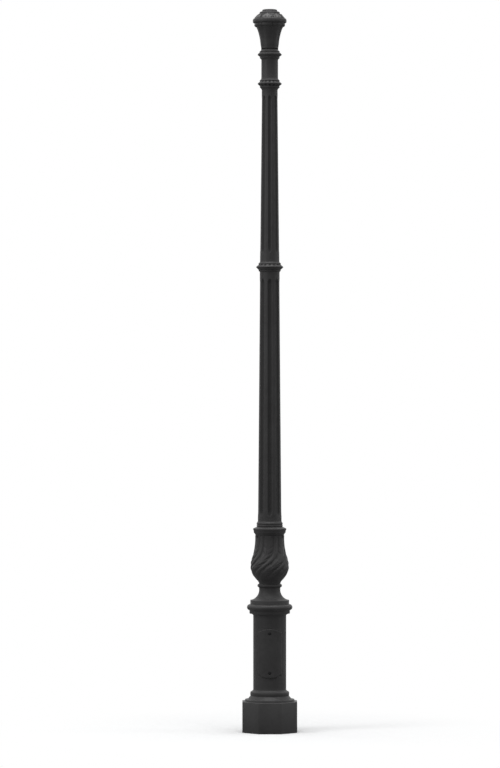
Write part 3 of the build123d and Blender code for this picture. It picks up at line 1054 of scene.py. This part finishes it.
def door_screw(name, level, steel):
    """Button head screw with a hexagon socket."""
    line = Profile(screw_radius, -screw_length)
    line.to(screw_radius, screw_length)
    line.to(screw_head_radius, 0)
    line.to(screw_head_radius, screw_head_side)
    line.to(screw_top_radius, screw_head_height - screw_head_side, screw_head_crown)
    bm = turned(line.softened(fitting_softness), steps=fitting_steps)
    seat = column_radius + door_proud - counterbore_depth
    place = Matrix.Translation((0, -seat, level)) @ Matrix.Rotation(math.pi / 2, 4, "X")
    bmesh.ops.transform(bm, verts=bm.verts, matrix=place)
    screw = piece(name, bm, steel, fitting_sharp_angle)
    socket = hole_cutter(6, screw_hex / math.sqrt(3), screw_hex_depth, seat + screw_head_height, 0, level)
    cut(screw, [piece("socket", socket, steel)])
    return screw


def nodes_of(material):
    """Node tree of a material and its main shader."""
    material.use_nodes = True
    tree = material.node_tree
    return tree, tree.nodes["Principled BSDF"]


def add(tree, kind, **settings):
    """New node with its settings."""
    node = tree.nodes.new(kind)
    for key, value in settings.items():
        setattr(node, key, value)
    return node


def noise_at(tree, vector, scale, detail=4.0, roughness=0.6):
    """Soft irregular pattern, finer with a larger scale."""
    node = add(tree, "ShaderNodeTexNoise")
    node.inputs["Scale"].default_value = scale
    node.inputs["Detail"].default_value = detail
    node.inputs["Roughness"].default_value = roughness
    tree.links.new(vector, node.inputs["Vector"])
    return node.outputs["Fac"]


def ramp(tree, value, stops):
    """Turn a value into levels or colours at given stops."""
    node = add(tree, "ShaderNodeValToRGB")
    tree.links.new(value, node.inputs["Fac"])
    elements = node.color_ramp.elements
    while len(elements) < len(stops):
        elements.new(0.5)
    for element, (position, level) in zip(elements, stops):
        element.position = position
        element.color = (*level, 1.0) if isinstance(level, tuple) else (level, level, level, 1.0)
    return node.outputs["Color"]


def blend(tree, share, low, high):
    """Mix two colours by a share."""
    node = add(tree, "ShaderNodeMix", data_type="RGBA")
    for socket, value in (("Factor", share), ("A", low), ("B", high)):
        index = {"Factor": 0, "A": 6, "B": 7}[socket]
        if isinstance(value, bpy.types.NodeSocket):
            tree.links.new(value, node.inputs[index])
        else:
            node.inputs[index].default_value = value
    return node.outputs[2]


def bumps(tree, layers):
    """Chain of bumps: each layer is a height and how far it stands."""
    normal = None
    for height, distance in layers:
        node = add(tree, "ShaderNodeBump")
        node.inputs["Strength"].default_value = 1.0
        node.inputs["Distance"].default_value = distance
        tree.links.new(height, node.inputs["Height"])
        if normal is not None:
            tree.links.new(normal, node.inputs["Normal"])
        normal = node.outputs["Normal"]
    return normal


def painted_iron():
    """Sand cast iron under matt anthracite paint, worn a little along its edges, with painted shade in its
    hollows and carving and painted highlight on raised parts.
    """
    material = bpy.data.materials.new("painted_cast_iron")
    tree, shader = nodes_of(material)
    place = add(tree, "ShaderNodeTexCoord").outputs["Object"]
    cloud = noise_at(tree, place, 9.0, 5.0)
    grain = noise_at(tree, place, 420.0, 3.0)
    pits = noise_at(tree, place, 120.0, 4.0, 0.65)
    paint = ramp(tree, cloud, ((0.35, paint_dark), (0.68, paint_light)))
    speckled = blend(tree, ramp(tree, grain, ((0.42, 0.0), (0.72, 0.20))), paint, speck_colour)
    bend = add(tree, "ShaderNodeNewGeometry").outputs["Pointiness"]
    # painted shade: hollows found by pointiness darkened towards near black
    hollow = ramp(tree, bend, ((0.40, 0.75), (0.485, 0.0)))
    hollow_shaded = blend(tree, hollow, speckled, hollow_shade_colour)
    worn = ramp(tree, bend, ((0.515, 0.0), (0.60, 0.60)))
    rubbed = blend(tree, worn, hollow_shaded, rubbed_colour)
    # painted shade: near black where the mesh's per point share is positive
    painted_shading = add(tree, "ShaderNodeAttribute", attribute_name="painted_shading").outputs["Fac"]
    shaded = blend(tree, ramp(tree, painted_shading, ((0.0, 0.0), (1.0, 0.85))), rubbed, painted_shade_colour)
    # painted highlight: lighter where the mesh's per point share is negative
    raised = add(tree, "ShaderNodeMath", operation="MULTIPLY")
    raised.inputs[1].default_value = -1.0
    tree.links.new(painted_shading, raised.inputs[0])
    painted_light = ramp(tree, raised.outputs["Value"], ((0.0, 0.0), (1.0, 0.9)))
    highlighted = blend(tree, painted_light, shaded, highlight_colour)
    tree.links.new(highlighted, shader.inputs["Base Color"])
    tree.links.new(ramp(tree, cloud, ((0.30, 0.42), (0.75, 0.56))), shader.inputs["Roughness"])
    shader.inputs["Specular IOR Level"].default_value = paint_specular
    swells = noise_at(tree, place, 26.0, 2.0, 0.5)
    surface = bumps(tree, ((swells, swell_height), (pits, pit_height), (grain, grain_height)))
    tree.links.new(surface, shader.inputs["Normal"])
    return material


def joint_shade_finish():
    """Near-black painted shade for the joint under the bell, dull and uneven."""
    material = bpy.data.materials.new("joint_shade_finish")
    tree, shader = nodes_of(material)
    place = add(tree, "ShaderNodeTexCoord").outputs["Object"]
    lumps = noise_at(tree, place, 160.0)
    joint_tone = ramp(tree, lumps, ((0.35, joint_shade_dark), (0.70, joint_shade_light)))
    tree.links.new(joint_tone, shader.inputs["Base Color"])
    tree.links.new(ramp(tree, lumps, ((0.3, 0.75), (0.7, 0.92))), shader.inputs["Roughness"])
    shader.inputs["Specular IOR Level"].default_value = 0.05
    tree.links.new(bumps(tree, ((lumps, 0.0004),)), shader.inputs["Normal"])
    return material


def metal(name, colour, rough_low, rough_high, scale):
    """Plain metal of a fastener, with fine marks."""
    material = bpy.data.materials.new(name)
    tree, shader = nodes_of(material)
    place = add(tree, "ShaderNodeTexCoord").outputs["Object"]
    marks = noise_at(tree, place, scale)
    darker = tuple(0.6 * part for part in colour)
    tree.links.new(ramp(tree, marks, ((0.35, darker), (0.65, colour))), shader.inputs["Base Color"])
    tree.links.new(ramp(tree, marks, ((0.3, rough_low), (0.7, rough_high))), shader.inputs["Roughness"])
    shader.inputs["Metallic"].default_value = 1.0
    tree.links.new(bumps(tree, ((marks, 0.00005),)), shader.inputs["Normal"])
    return material


def pale_floor():
    """Pale floor that keeps the shadow near the pole and fades to white for the camera further off."""
    material = bpy.data.materials.new("pale_floor")
    tree, shader = nodes_of(material)
    rays = add(tree, "ShaderNodeLightPath").outputs
    shade = blend(tree, rays["Is Camera Ray"], floor_bounced, floor_seen)
    tree.links.new(shade, shader.inputs["Base Color"])
    shader.inputs["Roughness"].default_value = 0.9
    shader.inputs["Specular IOR Level"].default_value = 0.1
    away = add(tree, "ShaderNodeVectorMath", operation="LENGTH")
    tree.links.new(add(tree, "ShaderNodeTexCoord").outputs["Object"], away.inputs[0])
    fade = add(tree, "ShaderNodeMapRange", interpolation_type="SMOOTHSTEP")
    fade.inputs["From Min"].default_value = floor_fade[0]
    fade.inputs["From Max"].default_value = floor_fade[1]
    tree.links.new(away.outputs["Value"], fade.inputs["Value"])
    seen = add(tree, "ShaderNodeMath", operation="MULTIPLY")
    tree.links.new(fade.outputs["Result"], seen.inputs[0])
    tree.links.new(rays["Is Camera Ray"], seen.inputs[1])
    white = add(tree, "ShaderNodeEmission")
    mix = add(tree, "ShaderNodeMixShader")
    tree.links.new(seen.outputs["Value"], mix.inputs["Fac"])
    tree.links.new(shader.outputs["BSDF"], mix.inputs[1])
    tree.links.new(white.outputs["Emission"], mix.inputs[2])
    tree.links.new(mix.outputs["Shader"], tree.nodes["Material Output"].inputs["Surface"])
    return material


def studio_floor():
    """Wide flat floor under the pole."""
    bm = bmesh.new()
    bmesh.ops.create_grid(bm, x_segments=1, y_segments=1, size=floor_reach)
    piece("studio_floor", bm, pale_floor())


def world_light():
    """Even, fairly dim light all round, and white where the background itself is seen."""
    world = bpy.data.worlds.new("studio")
    bpy.context.scene.world = world
    world.use_nodes = True
    tree = world.node_tree
    dim = tree.nodes["Background"]
    dim.inputs["Color"].default_value = world_colour
    dim.inputs["Strength"].default_value = world_strength
    seen = add(tree, "ShaderNodeBackground")
    seen.inputs["Color"].default_value = (1.0, 1.0, 1.0, 1.0)
    rays = add(tree, "ShaderNodeLightPath").outputs
    shown = rays["Is Camera Ray"]
    for kind in ("Is Glossy Ray", "Is Transmission Ray"):
        either = add(tree, "ShaderNodeMath", operation="MAXIMUM")
        tree.links.new(shown, either.inputs[0])
        tree.links.new(rays[kind], either.inputs[1])
        shown = either.outputs["Value"]
    mix = add(tree, "ShaderNodeMixShader")
    tree.links.new(shown, mix.inputs["Fac"])
    tree.links.new(dim.outputs["Background"], mix.inputs[1])
    tree.links.new(seen.outputs["Background"], mix.inputs[2])
    tree.links.new(mix.outputs["Shader"], tree.nodes["World Output"].inputs["Surface"])


def area_light(name, place, height, size, power):
    """Soft lamp that faces the pole at a height."""
    data = bpy.data.lights.new(name, "AREA")
    data.shape = "RECTANGLE"
    data.size, data.size_y = size
    data.energy = power
    lamp = bpy.data.objects.new(name, data)
    lamp.location = place
    lamp.rotation_euler = (Vector((0, 0, height)) - Vector(place)).to_track_quat("-Z", "Y").to_euler()
    bpy.context.scene.collection.objects.link(lamp)


def lights():
    """All the lamps of the studio."""
    for name, setting in lamps.items():
        area_light(name, *setting)


def camera():
    """Camera with the frame of the photograph."""
    data = bpy.data.cameras.new("camera")
    data.sensor_fit = "VERTICAL"
    data.sensor_height = 24.0
    data.lens = data.sensor_height * camera_distance / frame_height
    data.clip_end = 200.0
    view = bpy.data.objects.new("camera", data)
    view.location = (camera_offset, -camera_distance, camera_height)
    view.rotation_euler = (math.pi / 2, 0.0, 0.0)
    bpy.context.scene.collection.objects.link(view)
    bpy.context.scene.camera = view


def dress():
    """Make every piece, put it in its node's place and give the others their finish."""
    iron = painted_iron()
    steel = metal("blackened_steel", blackened_colour, 0.38, 0.55, 900.0)
    joint_shade = joint_shade_finish()
    brass = metal("dull_brass", brass_colour, 0.30, 0.45, 500.0)
    made = {
        "base_casting": base_casting(iron),
        "shaft": shaft(iron),
        "capital": capital(iron, joint_shade),
        "inspection_door": inspection_door(iron),
    }
    for name, level in zip(("door_screw_lower", "door_screw_upper"), screw_levels()):
        made[name] = door_screw(name + "_turned", level, steel)
    for node, dressed in made.items():
        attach(dressed, "root")
        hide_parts(node)
    for node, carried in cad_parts.items():
        if node.startswith("shaft_set_screw"):
            carried.data.materials[0] = steel
        elif node.startswith("earth"):
            carried.data.materials[0] = brass


bpy.context.scene.view_settings.view_transform = "Standard"
dress()
studio_floor()
world_light()
lights()
camera()
